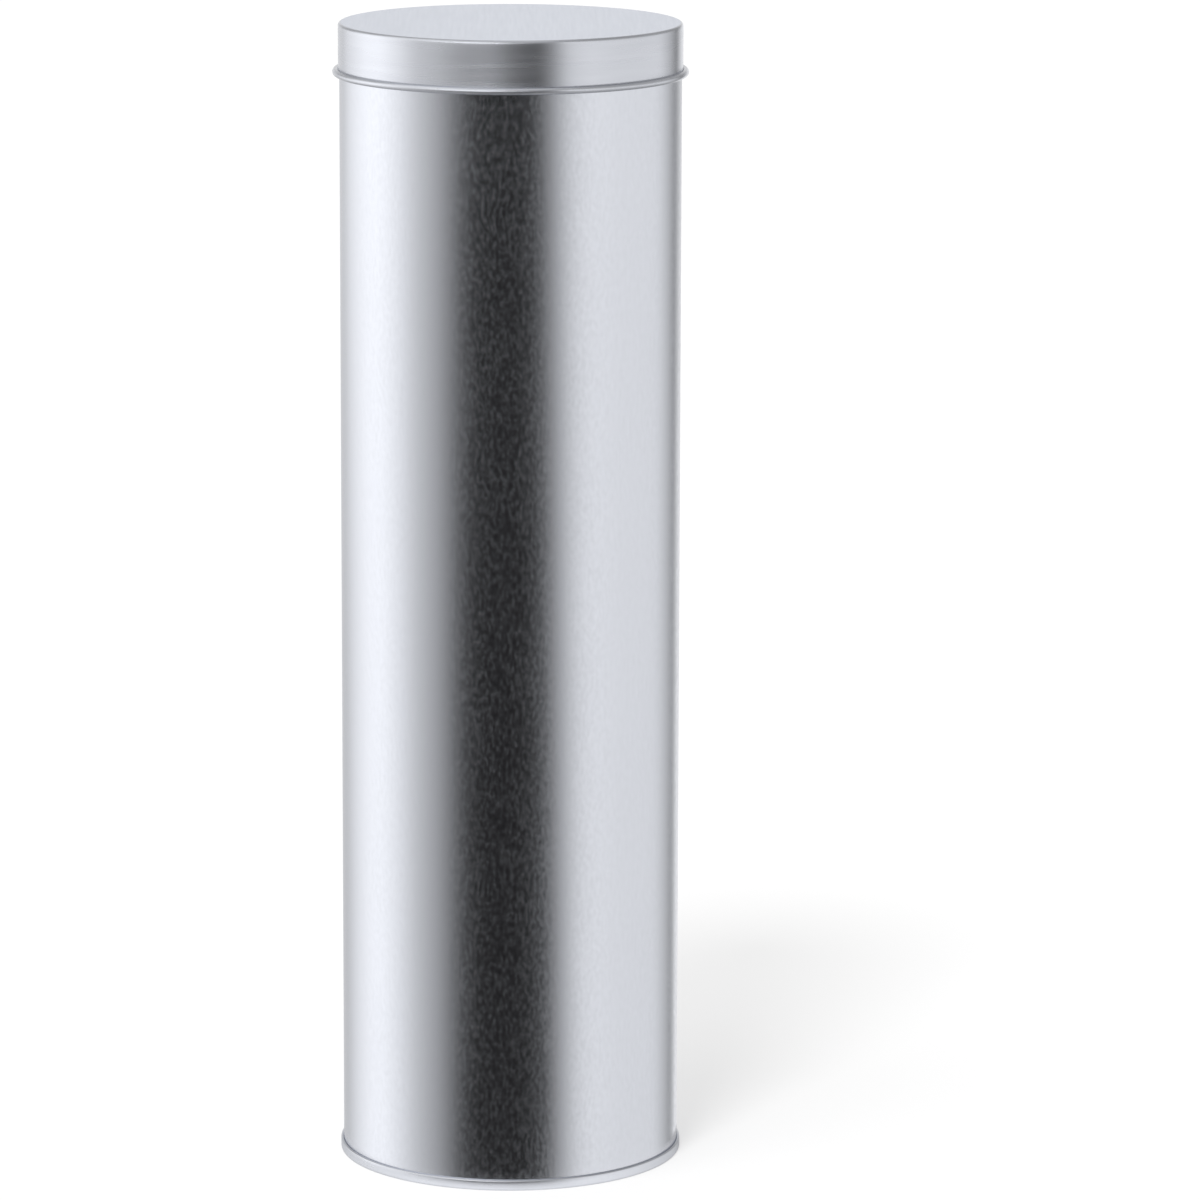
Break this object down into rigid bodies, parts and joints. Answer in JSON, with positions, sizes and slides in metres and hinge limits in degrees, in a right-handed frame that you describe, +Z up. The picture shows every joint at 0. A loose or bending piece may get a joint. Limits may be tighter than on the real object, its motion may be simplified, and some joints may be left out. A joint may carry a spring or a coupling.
{
  "type": "cylindrical pen tin",
  "caption": "Tall cylindrical tinplate container for pens and pencils, with a plain slip lid, a rolled lid edge, a locked side seam and a double-seamed foot.",
  "frame": {"origin": "on the tin's axis, in the plane of the foot ring that the tin stands on", "axes": "+Z up along the tin's axis to the lid, +Y to the back, where the side seam is, and -Y to the side that the picture shows"},
  "size_m": [0.0676, 0.0676, 0.22],
  "materials": {
    "wall_tinplate": "bright tinplate with a fine short grain that runs up the wall",
    "end_tinplate": "bright tinplate, plain and slightly duller than the wall",
    "lid_tinplate": "bright tinplate, with faint draw marks round the skirt and a straight grain across the top"
  },
  "bodies": {
    "tin": {"body_wall": "wall_tinplate", "bottom_end": "end_tinplate"},
    "lid": {"lid": "lid_tinplate"}
  },
  "joints": [
    {"name": "lid_lift", "type": "slide", "parent": "tin", "child": "lid", "axis": [0, 0, 1], "range_m": [0, 0.08]}
  ]
}
